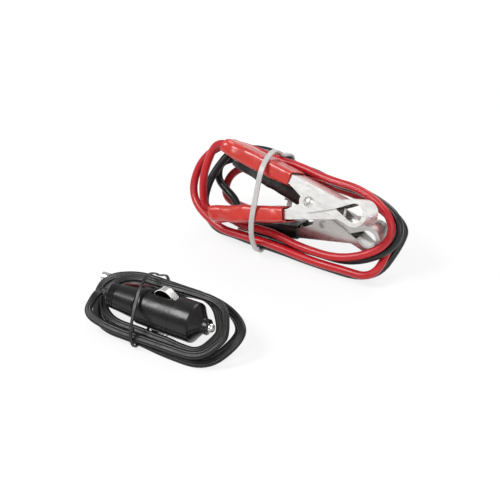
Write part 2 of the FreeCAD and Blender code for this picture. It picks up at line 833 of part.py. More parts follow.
def contact_carrier():
    """Tube round the fuse, on two webs in the barrel; its front flange carries the side contacts."""
    body = disc(carrier_radius, spring_seat - 0.6, carrier_end, carrier_bore)
    seat = disc(carrier_bore + 0.2, spring_seat - 0.6, spring_seat - 0.05, 2.2)
    rear_web = disc(barrel_bore - fixed_fit, carrier_start, carrier_start + 1.5, carrier_radius - 0.1)
    front_web = disc(contact_front_radius - 0.75, cap_start - 0.6, cap_start + 2.2, carrier_radius - 0.1)
    return body.fuse([seat, rear_web, front_web]).removeSplitter()


def contact_leaf():
    """One side contact: a strip rooted at its front, bowed out through the barrel's slot."""
    front = V(contact_front, contact_front_radius, 0)
    peak = V(contact_peak, contact_peak_radius, 0)
    rear = V(contact_rear, contact_rear_radius, 0)
    shoulder = V((contact_front + contact_peak) / 2 + 0.8, (contact_front_radius + contact_peak_radius) / 2 + 0.35, 0)
    out = [front, shoulder, peak, rear]
    curve = Part.BSplineCurve()
    curve.interpolate(out)
    offset = []
    for parameter in (0, 0.25, 0.5, 0.75, 1):
        first, last = curve.FirstParameter, curve.LastParameter
        at = first + (last - first) * parameter
        tangent = curve.tangent(at)[0]
        normal = V(tangent.y, -tangent.x, 0).normalize()
        if normal.y > 0:
            normal = normal * -1
        offset.append(curve.value(at) + normal * contact_sheet)
    inner = Part.BSplineCurve()
    inner.interpolate(offset)
    edges = [curve.toShape(), Part.LineSegment(out[-1], offset[-1]).toShape(),
             inner.toShape(), Part.LineSegment(offset[0], out[0]).toShape()]
    face = Part.Face(Part.Wire(Part.__sortEdges__(edges)))
    face.translate(V(0, 0, -contact_width / 2))
    return face.extrude(V(0, 0, contact_width))


def strain_relief():
    points = [(-relief_length, cord_diameter / 2 + fixed_fit), (-relief_length, relief_tip_radius)]
    points += [(-0.4, relief_radius), (rear_wall_end + 0.2, relief_radius)]
    points += [(rear_wall_end + 0.2, relief_radius + 0.8), (rear_wall_end + 1.4, relief_radius + 0.8)]
    points += [(rear_wall_end + 1.4, cord_diameter / 2 + fixed_fit)]
    return turned(points)


def cord_core(side, stations):
    points = [V(x, y, z) for x, y, z in stations]
    solid = None
    for start, end in zip(points, points[1:]):
        run = end - start
        piece = Part.makeCylinder(core_radius, run.Length, start, run)
        solid = piece if solid is None else solid.fuse(piece)
    for joint in points[1:-1]:
        solid = solid.fuse(Part.makeSphere(core_radius, joint))
    return solid.removeSplitter()


save("plug_rear_grip", plug_frame.place(grip()))
save("plug_barrel", plug_frame.place(barrel()))
save("plug_nose_cap", plug_frame.place(nose_cap()))
save("plug_centre_pin", plug_frame.place(centre_pin()))
save("plug_fuse_tube", plug_frame.place(fuse_tube()))
save("plug_fuse_caps", plug_frame.place(fuse_caps()))
save("plug_pin_spring", plug_frame.place(pin_spring()))
save("plug_rear_terminal", plug_frame.place(rear_terminal()))
save("plug_contact_carrier", plug_frame.place(contact_carrier()))
for name, angle in (("upper", contact_angle), ("lower", contact_angle + 180)):
    save("plug_%s_contact" % name, plug_frame.place(turn_about_axis(contact_leaf(), angle)))
save("plug_strain_relief", plug_frame.place(strain_relief()))

# Twin cord of the plug, from inside the grip round the hank to the connector

cord_inner_end = rear_wall_end + 2.6
core_spread = cord_diameter / 4
cord_frame_y = (plug_y - plug_hank_y)
live_stations = [(cord_inner_end, 0, core_spread), (spring_seat - 2.0, 0, 0.3 + core_radius)]
return_stations = [(cord_inner_end + 0.8 * core_radius, 0, -core_spread), (spring_seat - 3.0, 0, -carrier_radius + 0.65),
                   (spring_seat - 0.62, 0, -carrier_radius + 0.65)]
save("plug_live_core", plug_frame.place(cord_core(1, live_stations)))
save("plug_return_core", plug_frame.place(cord_core(-1, return_stations)))

cord_route = [
    (-36.8, 9.4, 6.9, DOWN, 0),
    (-14, -0.6, 4.5, RIGHT, 9),
    (19, -0.6, 4.9, RIGHT, 0),
    (37.4, 14.0, 5.5, UP, 10),
    (14, 31.2, 4.2, LEFT, 8),
    (-14, 30.2, 4.0, LEFT, 0),
    (-36.2, 17.4, -0.7, DOWN, 10),
    (-14, 4.1, 1.9, RIGHT, 8.5),
    (8, 3.7, 1.9, RIGHT, 0),
    (17, 3.0, 1.5, RIGHT, 0),
    (31.8, 15.8, 0.6, UP, 9),
    (6, 33.2, -0.7, LEFT, 10),
    (-14, 33.4, -0.9, LEFT, 0),
    (-41.9, 19.6, -3.6, DOWN, 11),
    (-16, -0.2, -0.45, RIGHT, 14),
    (18, -1.8, -1.7, RIGHT, 0),
    (43.0, 17, 0.4, UP, 12),
    (8, 34.6, -5.6, LEFT, 12),
    (-14, 34.4, -5.8, LEFT, 0),
    (-40.0, 20.6, -8.1, DOWN, 11),
    (-16, 4.2, -3.0, RIGHT, 12),
    (18, 2.4, -4.1, RIGHT, 0),
    (38.0, 19.6, -6.2, UP, 12),
    (8, 36.6, -11.0, LEFT, 12),
]


def cord_edges():
    start = plug_frame.point(cord_inner_end, 0, 0)
    heading = V(-1, 0, 0)
    run = cord_inner_end + relief_length + 1.0
    edges = [straight(start, heading, run)]
    here = start + heading * run
    edges += wind(plug_hank, here, heading, cord_route)
    a, b, c, direction, _ = cord_route[-1]
    here = plug_hank.point(a, b, c)
    heading = plug_hank.vector(*direction).normalize()
    target = V(*connector_at)
    axis = V(cos(connector_yaw), sin(connector_yaw), 0)
    edges += biarc(here, heading, target, axis, even_reach(here, heading, target, axis))
    edges.append(straight(target, axis, cord_diameter))
    return edges, target + axis * cord_diameter, axis


def make_cord():
    edges, end, axis = cord_edges()
    report("plug cord", edges, cord_diameter)
    solid = tube(edges, cord_diameter / 2).cut(box(-FAR, FAR, -FAR, FAR, -FAR, 0))
    save("plug_cord", solid)
    body = Part.makeCylinder(connector_body_radius, connector_body_length, end, axis)
    rims = [edge for edge in body.Edges if len(edge.Vertexes) == 1]
    body = body.makeFillet(1.0, rims)
    bore_depth = 6.0
    front = end + axis * connector_body_length
    socket = Part.makeCylinder(connector_shell_radius + fixed_fit, bore_depth, front - axis * bore_depth, axis)
    save("connector_body", body.cut(socket))
    shell_start = front - axis * (bore_depth - 0.02)
    shell_run = connector_shell_length + bore_depth
    shell = Part.makeCylinder(connector_shell_radius, shell_run, shell_start, axis)
    shell = shell.cut(Part.makeCylinder(connector_shell_radius - connector_shell_wall, shell_run, shell_start, axis))
    save("connector_shell", shell)
    insulator_radius = connector_shell_radius - connector_shell_wall - fixed_fit
    insulator = Part.makeCylinder(insulator_radius, shell_run - 0.1, shell_start, axis)
    insulator = insulator.cut(Part.makeCylinder(connector_bore_radius, shell_run - 2, shell_start + axis * 3, axis))
    save("connector_insulator", insulator)


make_cord()


# Straps

def closed_curve(points):
    curve = Part.BSplineCurve()
    curve.interpolate(points, PeriodicFlag=True)
    return curve


def band(points, thickness, width):
    """Strap of the given section round an outline; its inner face follows the outline."""
    inner = closed_curve([V(x, y, 0) for x, y in points])
    first, last = inner.FirstParameter, inner.LastParameter
    middle = V(sum(x for x, y in points), sum(y for x, y in points), 0) * (1 / len(points))
    count = 6 * len(points)
    raised = []
    for i in range(count):
        at = first + (last - first) * i / count
        tangent = inner.tangent(at)[0]
        normal = V(tangent.y, -tangent.x, 0).normalize()
        if normal.dot(inner.value(at) - middle) < 0:
            normal = normal * -1
        raised.append(inner.value(at) + normal * thickness)
    ring = Part.Face([Part.Wire(closed_curve(raised).toShape()), Part.Wire(inner.toShape())])
    ring.validate()
    ring.translate(V(0, 0, -width / 2))
    return ring.extrude(V(0, 0, width))


def strap_frame(frame, at, lean_m, lean_w):
    """Axes of a strap's plane: across the hank, to its front, and along it."""
    along = (frame.axes[0] - frame.axes[2] * lean_m - frame.axes[1] * lean_w).normalize()
    front = (frame.axes[2] + frame.axes[0] * lean_m)
    front = (front - along * front.dot(along)).normalize()
    across = front.cross(along)
    return Frame(frame.point(at, 0, 0), across, front, along)


strap_outline = [(50.0, 4.0), (48.6, 17.6), (41.8, 23.2), (28.0, 22.6), (14.0, 20.4), (4.5, 14.0),
                 (-1.8, 5.0), (-3.6, -2.2), (0.4, -10.0), (8.4, -25.0), (15.0, -30.2), (36.0, -26.2), (48.6, -15.0)]


def make_strap():
    local = strap_frame(clamp_hank, strap_x, strap_lean, 0)
    loop = band(strap_outline, strap_thickness, strap_width)
    length, height, depth = strap_head
    back = sum(y for x, y in strap_outline[10:12]) / 2
    middle = sum(x for x, y in strap_outline[10:12]) / 2
    head = box(middle - length / 2, middle + length / 2, back - depth, back + 0.2, -height / 2, height / 2)
    strap = local.place(loop.fuse(head).removeSplitter())
    save("clamp_hank_tie", strap.cut(box(-FAR, FAR, -FAR, FAR, -FAR, 0)))


make_strap()

tie_outline = [(35.4, 2.0), (33.4, 7.4), (27.0, 14.2), (18.0, 15.6), (8.0, 13.4), (0.5, 9.8), (-3.4, 4.6),
               (-3.2, -1.0), (0.2, -3.6), (4.4, -6.0), (14.0, -9.4), (30.0, -14.0), (38.4, -14.2), (40.2, -9.6)]


def make_wire_tie():
    local = strap_frame(plug_hank, wire_tie_x, 0, wire_tie_lean)
    loop = band(tie_outline, wire_tie_thickness, wire_tie_width)
    knob_at = tie_outline[5]
    knob = Part.makeSphere(wire_tie_knob_radius, V(knob_at[0] + 0.2, knob_at[1] + 0.6, 0.4))
    save("plug_hank_tie", local.place(loop.fuse(knob).removeSplitter()))


make_wire_tie()
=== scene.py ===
"""Dressed model of a car battery charger's lead set: two bound hanks on a pale floor."""

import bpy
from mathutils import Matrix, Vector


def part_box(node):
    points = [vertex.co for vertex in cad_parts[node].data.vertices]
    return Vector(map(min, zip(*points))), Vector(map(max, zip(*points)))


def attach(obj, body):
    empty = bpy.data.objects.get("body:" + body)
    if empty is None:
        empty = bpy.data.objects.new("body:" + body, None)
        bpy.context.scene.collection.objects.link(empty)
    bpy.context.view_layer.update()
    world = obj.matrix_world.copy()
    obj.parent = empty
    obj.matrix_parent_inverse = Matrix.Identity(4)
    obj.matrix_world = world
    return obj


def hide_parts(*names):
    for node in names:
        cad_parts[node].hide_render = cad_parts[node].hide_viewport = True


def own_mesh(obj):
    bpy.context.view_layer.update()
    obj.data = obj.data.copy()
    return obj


bl_info = {
    "name": "Charger lead set",
    "version": (1, 0, 0),
    "blender": (4, 5, 0),
    "location": "View3D > Sidebar > Lead Set",
    "description": "Builds the leads, sleeves, clips, plug and straps of a charger's lead set",
    "category": "Object",
}

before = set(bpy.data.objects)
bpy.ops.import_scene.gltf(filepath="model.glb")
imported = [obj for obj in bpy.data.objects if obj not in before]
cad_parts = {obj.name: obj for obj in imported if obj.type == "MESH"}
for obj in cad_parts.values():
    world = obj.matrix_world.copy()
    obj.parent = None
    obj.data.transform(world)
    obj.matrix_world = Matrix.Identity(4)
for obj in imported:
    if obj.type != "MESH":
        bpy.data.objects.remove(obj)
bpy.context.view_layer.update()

import math

import bpy
from mathutils import Vector, noise as perlin

MM = 0.001

# Routes, in each hank's own axes: along it, across it and to its front
RIGHT = (1, 0, 0)
LEFT = (-1, 0, 0)
UP = (0, 1, 0)
DOWN = (0, -1, 0)
CLAMP_HANK = (4.6, 33.9, 5.7, 62)
PLUG_HANK = (-15.2, -68.9, 4.05, 30)
RED_ROUTE = [
    (-54, 27, 4.8, DOWN, 0),
    (-38, 8.3, -0.9, RIGHT, 12),
    (-25, 7.3, 1.6, (1, 0.02, 0.12), 0),
    (-13, 7.9, 2.3, RIGHT, 0),
    (18, 5.2, 3.7, RIGHT, 0),
    (57.3, 25.5, 2.2, UP, 13),
    (24, 43.6, 0.6, LEFT, 13),
    (-12, 46.2, -1.2, LEFT, 0),
    (-36, 47.9, -2, LEFT, 0),
    (-62, 27, -1.5, DOWN, 17),
    (-28, 2.2, 4.4, RIGHT, 23),
    (-15, 2.2, 4.4, RIGHT, 0),
    (27, 0, 2.6, RIGHT, 0),
    (37, 0.2, 2.3, RIGHT, 0),
    (54.6, 24, -10.5, UP, 13),
    (10, 38.6, -15.2, LEFT, 10),
    (-28, 38, -15.3, LEFT, 0),
    (-50.2, 23, -17.6, DOWN, 12),
    (-30, 12.6, -24.6, RIGHT, 0),
]
BLACK_ROUTE = [
    (-43.6, 19.6, -11.5, (-0.87, 0.48, 0), 0),
    (-54.6, 30.5, -13, UP, 0),
    (-24, 41.4, -19.8, RIGHT, 8),
    (10, 40.8, -19.6, RIGHT, 0),
    (57.4, 22, -18, DOWN, 12),
    (28, -2.2, -4.6, LEFT, 12),
    (-15, -0.6, -2.8, LEFT, 0),
    (-38, 0, -4.6, LEFT, 0),
    (-55.4, 18, -5.5, UP, 0),
    (-50.8, 36.5, -7.2, (0.42, 0.9, -0.12), 0),
    (-29, 47.6, -15.6, RIGHT, 0),
    (-2, 44.2, -10.8, (1, 0, 0.17), 0),
    (24, 42, -4.4, RIGHT, 0),
    (60.7, 25, -1.4, DOWN, 13),
    (22, 4.3, -0.8, LEFT, 13),
    (-4, 3.9, -0.7, LEFT, 0),
]
CORD_ROUTE = [
    (-36.8, 9.4, 6.9, DOWN, 0),
    (-14, -0.6, 4.5, RIGHT, 9),
    (19, -0.6, 4.9, RIGHT, 0),
    (37.4, 14, 5.5, UP, 10),
    (14, 31.2, 4.2, LEFT, 8),
    (-14, 30.2, 4, LEFT, 0),
    (-36.2, 17.4, -0.7, DOWN, 10),
    (-14, 4.1, 1.9, RIGHT, 8.5),
    (8, 3.7, 1.9, RIGHT, 0),
    (17, 3, 1.5, RIGHT, 0),
    (31.8, 15.8, 0.6, UP, 9),
    (6, 33.2, -0.7, LEFT, 10),
    (-14, 33.4, -0.9, LEFT, 0),
    (-41.9, 19.6, -3.6, DOWN, 11),
    (-16, -0.2, -0.45, RIGHT, 14),
    (18, -1.8, -1.7, RIGHT, 0),
    (43, 17, 0.4, UP, 12),
    (8, 34.6, -5.6, LEFT, 12),
    (-14, 34.4, -5.8, LEFT, 0),
    (-40, 20.6, -8.1, DOWN, 11),
    (-16, 4.2, -3, RIGHT, 12),
    (18, 2.4, -4.1, RIGHT, 0),
    (38, 19.6, -6.2, UP, 12),
    (8, 36.6, -11, LEFT, 12),
]
RED_START = (0.94, 42.01, 48.013)
RED_MOUTH = (-36.335, 47.473, 52.272)
BLACK_START = (1.166, 50.05, 10.464)
BLACK_MOUTH = (-25.012, 48.946, 5.643)
LEAD_DIAMETER = 4.3
CORD_DIAMETER = 4.2
RED_LENGTH = 638.7
BLACK_LENGTH = 552.1
CORD_START = (-40.2, -56.2, 15.65)
CORD_RUN = 8.9
CONNECTOR_AT = (-33.6, -29.6, 4.6)
CONNECTOR_AXIS = (-0.99756, -0.06976, 0)
RED_CLIP = ((21.388, 36.136, 40.567), (0.99617, -0.0374, 0.07904), (-0.05039, 0.49316, 0.86848),
            (-0.07146, -0.86914, 0.48938))
BLACK_CLIP = ((21.5, 52.221, 19.944), (0.99945, -0.0074, -0.03232), (-0.03316, -0.22313, -0.97423),
              (0, 0.97476, -0.22325))
TWIN_LOBE = 0.29
TWIN_STEPS = 14
TWIN_WAIST_SHARE = 0.97
SLEEVE_FREE_FROM = -42.5
SLEEVE_FREE_RUN = 9.0
SLEEVE_ROUNDING = 0.15
SLEEVE_STRAP_AT = -31.0
SLEEVE_STRAP_RUN = 6.0
TWIN_FRONT_TURN = math.radians(45)

# Dents and fullness of a sleeve, in millimetres
DENT_LENGTH = 10
DENT_BREADTH = 9
DENT_HELD_SHARE = 0.5
DENT_HELD_DEPTH = 0.15
SLEEVE_FULLNESS = 0.35
SLEEVE_MOST_FULL = 1.2
SLEEVE_HELD_ROUNDING = 0.03
SECTION_REACH = 4

# Lamps: name, place, size and power
LAMPS = (
    ("key", (-0.6, -0.7, 1.1), 0.6, 15),
    ("fill", (0.9, -0.6, 0.8), 0.9, 5),
    ("back", (0.1, 0.9, 0.9), 0.7, 6),
)
FLOOR_HALF = 3.0
FLOOR_GLOW_SHARE = 0.8
SKY_ON_OBJECT = 0.48

# View of the photograph
CAMERA_AZIMUTH = 29.4
CAMERA_ELEVATION = 34.0
CAMERA_SCALE = 1.85
CAMERA_TARGET = (-15.6, 33.4, 0)


class Axes:
    """A hank's or a clip's own axes in the frame."""

    def __init__(self, origin, along, across, front):
        self.origin = Vector(origin)
        self.axes = (Vector(along), Vector(across), Vector(front))

    def vector(self, a, b, c):
        return self.axes[0] * a + self.axes[1] * b + self.axes[2] * c

    def point(self, a, b, c):
        return self.origin + self.vector(a, b, c)

    def local(self, point):
        away = point - self.origin
        return Vector([axis.dot(away) for axis in self.axes])


def hank_axes(x, y, z, lean):
    sine = math.sin(math.radians(lean))
    cosine = math.cos(math.radians(lean))
    return Axes((x, y, z), (1, 0, 0), (0, cosine, sine), (0, -sine, cosine))


def bend_corners(start, leaving, end, arriving, end_reach):
    """The two corners of a bend that leaves start and arrives at end in given directions."""
    chord = end - start
    turn = leaving.dot(arriving) - 1
    top = chord.dot(chord) - 2 * end_reach * chord.dot(arriving)
    start_reach = top / (2 * (chord.dot(leaving) - end_reach * turn))
    return [start + leaving * start_reach, end - arriving * end_reach]


def even_reach(start, leaving, end, arriving):
    chord = end - start
    both = 2 * chord.dot(leaving + arriving)
    turn = 2 * (1 - leaving.dot(arriving))
    if turn < 1e-6:
        return chord.dot(chord) / both
    return (math.sqrt(both ** 2 + 4 * turn * chord.dot(chord)) - both) / (2 * turn)


def quarter_corners(start, leaving, end, arriving, radius, tight_end):
    """Corners of a loop's quarter turn, tight at one end and long at the other."""
    if not tight_end:
        return quarter_corners(end, -arriving, start, -leaving, radius, True)[::-1]
    chord = end - start
    reach = abs(chord.dot(leaving))
    drop = abs(chord.dot(arriving))
    radius = min(radius, 0.9 * drop, 0.9 * reach)
    flat = ((reach - radius) ** 2 + drop ** 2 - radius ** 2) / (2 * (drop - radius))
    swept = math.asin(min(1.0, (reach - radius) / (flat - radius)))
    return bend_corners(start, leaving, end, arriving, radius * math.tan((math.pi / 2 - swept) / 2))


def route_points(axes, here, heading, stations):
    """Control points of a wound lead through its stations."""
    points = []
    for a, b, c, direction, radius in stations:
        point = axes.point(a, b, c)
        tangent = axes.vector(*direction).normalized()
        if radius:
            tight_end = abs(heading.dot(axes.axes[0])) > abs(heading.dot(axes.axes[1]))
            points += quarter_corners(here, heading, point, tangent, radius, tight_end)
        else:
            points += bend_corners(here, heading, point, tangent, even_reach(here, heading, point, tangent))
        here = point
        heading = tangent
    return points, here, heading


def tree_of(name):
    material = bpy.data.materials.new(name)
    material.use_nodes = True
    tree = material.node_tree
    return material, tree, tree.nodes["Principled BSDF"]


def noise(tree, scale, detail=3.0, stretch=(1, 1, 1)):
    coordinates = tree.nodes.new("ShaderNodeTexCoord")
    mapping = tree.nodes.new("ShaderNodeMapping")
    mapping.inputs["Scale"].default_value = stretch
    texture = tree.nodes.new("ShaderNodeTexNoise")
    texture.inputs["Scale"].default_value = scale
    texture.inputs["Detail"].default_value = detail
    tree.links.new(coordinates.outputs["Object"], mapping.inputs["Vector"])
    tree.links.new(mapping.outputs["Vector"], texture.inputs["Vector"])
    return texture.outputs["Fac"]


def remap(tree, value, low, high):
    node = tree.nodes.new("ShaderNodeMapRange")
    node.inputs["From Min"].default_value = 0.3
    node.inputs["From Max"].default_value = 0.7
    node.inputs["To Min"].default_value = low
    node.inputs["To Max"].default_value = high
    tree.links.new(value, node.inputs["Value"])
    return node.outputs["Result"]


def shade(tree, shader, value, dark, light):
    """Base colour that drifts between two tones."""
    ramp = tree.nodes.new("ShaderNodeValToRGB")
    ramp.color_ramp.elements[0].position = 0.3
    ramp.color_ramp.elements[0].color = (*dark, 1)
    ramp.color_ramp.elements[1].position = 0.7
    ramp.color_ramp.elements[1].color = (*light, 1)
    tree.links.new(value, ramp.inputs["Fac"])
    tree.links.new(ramp.outputs["Color"], shader.inputs["Base Color"])


def relief(tree, shader, value, distance, strength):
    bump = tree.nodes.new("ShaderNodeBump")
    bump.inputs["Distance"].default_value = distance
    bump.inputs["Strength"].default_value = strength
    tree.links.new(value, bump.inputs["Height"])
    tree.links.new(bump.outputs["Normal"], shader.inputs["Normal"])


def tones(colour, spread):
    dark = tuple(max(0.0, c * (1 - spread)) for c in colour)
    light = tuple(min(1.0, c * (1 + spread)) for c in colour)
    return dark, light


def soft_plastic(name, colour, rough, grain, depth, spread=0.12, coat=0.0, gloss=0.5):
    material, tree, shader = tree_of(name)
    shader.inputs["Specular IOR Level"].default_value = gloss
    dark, light = tones(colour, spread)
    shade(tree, shader, noise(tree, 60, 2), dark, light)
    polish = remap(tree, noise(tree, 240), rough - 0.06, rough + 0.08)
    tree.links.new(polish, shader.inputs["Roughness"])
    shader.inputs["Coat Weight"].default_value = coat
    shader.inputs["Coat Roughness"].default_value = 0.2
    relief(tree, shader, noise(tree, grain, 2), depth, 0.5)
    return material


def bright_metal(name, colour, rough, stretch=(1, 1, 1)):
    material, tree, shader = tree_of(name)
    dark, light = tones(colour, 0.06)
    shade(tree, shader, noise(tree, 90, 3), dark, light)
    shader.inputs["Metallic"].default_value = 1.0
    polish = remap(tree, noise(tree, 220, 2, stretch), rough - 0.03, rough + 0.05)
    tree.links.new(polish, shader.inputs["Roughness"])
    relief(tree, shader, noise(tree, 260, 1, stretch), 0.00002, 0.12)
    return material


def clear_nylon(name, colour):
    material, tree, shader = tree_of(name)
    dark, light = tones(colour, 0.04)
    shade(tree, shader, noise(tree, 80, 2), dark, light)
    shader.inputs["Transmission Weight"].default_value = 0.25
    shader.inputs["IOR"].default_value = 1.5
    tree.links.new(remap(tree, noise(tree, 300), 0.28, 0.42), shader.inputs["Roughness"])
    relief(tree, shader, noise(tree, 400, 2), 0.00008, 0.4)
    return material


def clear_glass(name, colour):
    material, tree, shader = tree_of(name)
    shader.inputs["Base Color"].default_value = (*colour, 1)
    shader.inputs["Transmission Weight"].default_value = 1.0
    tree.links.new(remap(tree, noise(tree, 300), 0.02, 0.08), shader.inputs["Roughness"])
    return material


def dress(material, *nodes):
    for name in nodes:
        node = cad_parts[name]
        node.data.materials.clear()
        node.data.materials.append(material)


def twin_section(width):
    """Outline across a twin cord: two round cores side by side with a groove between them."""
    curve = bpy.data.curves.new("twin_section", "CURVE")
    curve.dimensions = "2D"
    lobe = width * TWIN_LOBE
    reach = width / 2 - lobe
    waist = math.acos(-reach / lobe) * TWIN_WAIST_SHARE
    outline = curve.splines.new("POLY")
    places = []
    for side in (1, -1):
        for step in range(TWIN_STEPS):
            angle = waist * (1 - 2 * (step + 0.5) / TWIN_STEPS)
            places.append((side * (reach + lobe * math.cos(angle)), -side * lobe * math.sin(angle)))
    outline.points.add(len(places) - 1)
    for point, place in zip(outline.points, places):
        point.co = (*place, 0, 1)
    outline.use_cyclic_u = True
    return bpy.data.objects.new("twin_section", curve)


def face_front(curve, points, front_turn):
    """Turns a twin cord's flat side to the front of its hank, along runs in either direction."""
    curve.twist_mode = "Z_UP"
    spline = curve.splines[0]
    last = len(points) - 1
    for index, point in enumerate(spline.points):
        run = points[min(last, index + 1)] - points[max(0, index - 1)]
        point.tilt = front_turn * run.normalized().x


def cord_piece(name, points, diameter, material, section=None):
    """A lead or cord as one smooth spline through the route's control points."""
    curve = bpy.data.curves.new(name, "CURVE")
    curve.dimensions = "3D"
    spline = curve.splines.new("NURBS")
    spline.points.add(len(points) - 1)
    for point, place in zip(spline.points, points):
        point.co = (*(place * MM), 1)
    spline.order_u = 3
    spline.use_endpoint_u = True
    spline.resolution_u = 8
    if section:
        curve.bevel_mode = "OBJECT"
        curve.bevel_object = section
    else:
        curve.bevel_depth = diameter / 2
        curve.bevel_resolution = 5
    curve.use_fill_caps = True
    piece = bpy.data.objects.new(name, curve)
    bpy.context.collection.objects.link(piece)
    curve.materials.append(material)
    return piece


class LeadSetSizes(bpy.types.PropertyGroup):
    """Sizes of the pieces that are made here."""

    lead_diameter: bpy.props.FloatProperty(
        name="Lead diameter", description="Outside diameter of a clip's lead", default=LEAD_DIAMETER * MM,
        unit="LENGTH", subtype="DISTANCE")
    cord_diameter: bpy.props.FloatProperty(
        name="Cord diameter", description="Width of the plug's cord", default=CORD_DIAMETER * MM,
        unit="LENGTH", subtype="DISTANCE")
    sleeve_voxel: bpy.props.FloatProperty(
        name="Sleeve grid", description="Grid on which a sleeve is softened", default=0.00038,
        unit="LENGTH", subtype="DISTANCE")
    sleeve_dent: bpy.props.FloatProperty(
        name="Sleeve dents", description="Depth of the dents in a sleeve", default=0.0018,
        unit="LENGTH", subtype="DISTANCE")
    camera_distance: bpy.props.FloatProperty(
        name="Camera distance", description="From the camera to the point it looks at", default=0.95,
        unit="LENGTH", subtype="DISTANCE")


class LeadSetColours(bpy.types.PropertyGroup):
    """Colours of the pieces."""

    red_vinyl: bpy.props.FloatVectorProperty(
        name="Red vinyl", description="Red clip's sleeves",
        default=(0.50, 0.024, 0.016), size=3, subtype="COLOR")
    red_lead: bpy.props.FloatVectorProperty(
        name="Red lead", description="Red lead's skin",
        default=(0.43, 0.007, 0.013), size=3, subtype="COLOR")
    black_vinyl: bpy.props.FloatVectorProperty(
        name="Black vinyl", description="Black clip's sleeves",
        default=(0.008, 0.008, 0.009), size=3, subtype="COLOR")
    black_lead: bpy.props.FloatVectorProperty(
        name="Black lead", description="Black lead's skin",
        default=(0.007, 0.007, 0.008), size=3, subtype="COLOR")
    plug_black: bpy.props.FloatVectorProperty(
        name="Plug black", description="Plug's plastic",
        default=(0.005, 0.005, 0.0055), size=3, subtype="COLOR")
    plate: bpy.props.FloatVectorProperty(
        name="Plate", description="Nickel on the clips",
        default=(0.93, 0.92, 0.90), size=3, subtype="COLOR")
    nylon: bpy.props.FloatVectorProperty(
        name="Nylon", description="Clear strap",
        default=(0.60, 0.59, 0.58), size=3, subtype="COLOR")


def sizes():
    return bpy.context.scene.lead_set_sizes


def colours():
    return bpy.context.scene.lead_set_colours


class LEADSET_OT_stage(bpy.types.Operator):
    """Camera, lamps, pale floor and white surroundings."""

    bl_idname = "leadset.stage"
    bl_label = "Stage"

    def execute(self, context):
        scene = context.scene
        scene.view_settings.view_transform = "Standard"
        distance = sizes().camera_distance
        azimuth, elevation = math.radians(CAMERA_AZIMUTH), math.radians(CAMERA_ELEVATION)
        back = Vector((math.sin(azimuth) * math.cos(elevation), -math.cos(azimuth) * math.cos(elevation),
                       math.sin(elevation)))
        camera = bpy.data.objects.new("camera", bpy.data.cameras.new("camera"))
        context.collection.objects.link(camera)
        camera.location = Vector(CAMERA_TARGET) * MM + back * distance
        camera.rotation_mode = "QUATERNION"
        camera.rotation_quaternion = (-back).to_track_quat("-Z", "Y")
        camera.data.sensor_width = 36
        camera.data.lens = 36 * CAMERA_SCALE * distance / MM / 500
        camera.data.clip_start = 0.01
        camera.data.clip_end = 20
        scene.camera = camera
        self.floor(context)
        self.lamps(context)
        self.surroundings(scene)
        return {"FINISHED"}

    def floor(self, context):
        mesh = bpy.data.meshes.new("floor")
        half = FLOOR_HALF
        corners = [(-half, -half, 0), (half, -half, 0), (half, half, 0), (-half, half, 0)]
        mesh.from_pydata(corners, [], [(0, 1, 2, 3)])
        floor = bpy.data.objects.new("floor", mesh)
        context.collection.objects.link(floor)
        material, tree, shader = tree_of("white_paper")
        shade(tree, shader, noise(tree, 4, 2), (0.84, 0.84, 0.84), (0.86, 0.86, 0.86))
        shader.inputs["Roughness"].default_value = 0.9
        glow = tree.nodes.new("ShaderNodeEmission")
        glow.inputs["Strength"].default_value = 1.0
        path = tree.nodes.new("ShaderNodeLightPath")
        seen = tree.nodes.new("ShaderNodeMath")
        seen.operation = "MAXIMUM"
        tree.links.new(path.outputs["Is Camera Ray"], seen.inputs[0])
        tree.links.new(path.outputs["Is Glossy Ray"], seen.inputs[1])
        share = tree.nodes.new("ShaderNodeMath")
        share.operation = "MULTIPLY"
        share.inputs[1].default_value = FLOOR_GLOW_SHARE
        tree.links.new(seen.outputs[0], share.inputs[0])
        mix = tree.nodes.new("ShaderNodeMixShader")
        tree.links.new(share.outputs[0], mix.inputs["Fac"])
        tree.links.new(shader.outputs[0], mix.inputs[1])
        tree.links.new(glow.outputs[0], mix.inputs[2])
        tree.links.new(mix.outputs[0], tree.nodes["Material Output"].inputs["Surface"])
        mesh.materials.append(material)

    def lamps(self, context):
        for name, place, size, power in LAMPS:
            lamp = bpy.data.lights.new(name, "AREA")
            lamp.size = size
            lamp.energy = power
            holder = bpy.data.objects.new(name, lamp)
            holder.location = place
            holder.rotation_mode = "QUATERNION"
            holder.rotation_quaternion = (-Vector(place)).to_track_quat("-Z", "Y")
            context.collection.objects.link(holder)

    def surroundings(self, scene):
        world = bpy.data.worlds.new("white")
        scene.world = world
        world.use_nodes = True
        tree = world.node_tree
        sky = tree.nodes["Background"]
        sky.inputs["Color"].default_value = (1, 1, 1, 1)
        path = tree.nodes.new("ShaderNodeLightPath")
        strength = tree.nodes.new("ShaderNodeMapRange")
        strength.inputs["To Min"].default_value = SKY_ON_OBJECT
        strength.inputs["To Max"].default_value = 1.0
        tree.links.new(path.outputs["Is Camera Ray"], strength.inputs["Value"])
        tree.links.new(strength.outputs["Result"], sky.inputs["Strength"])


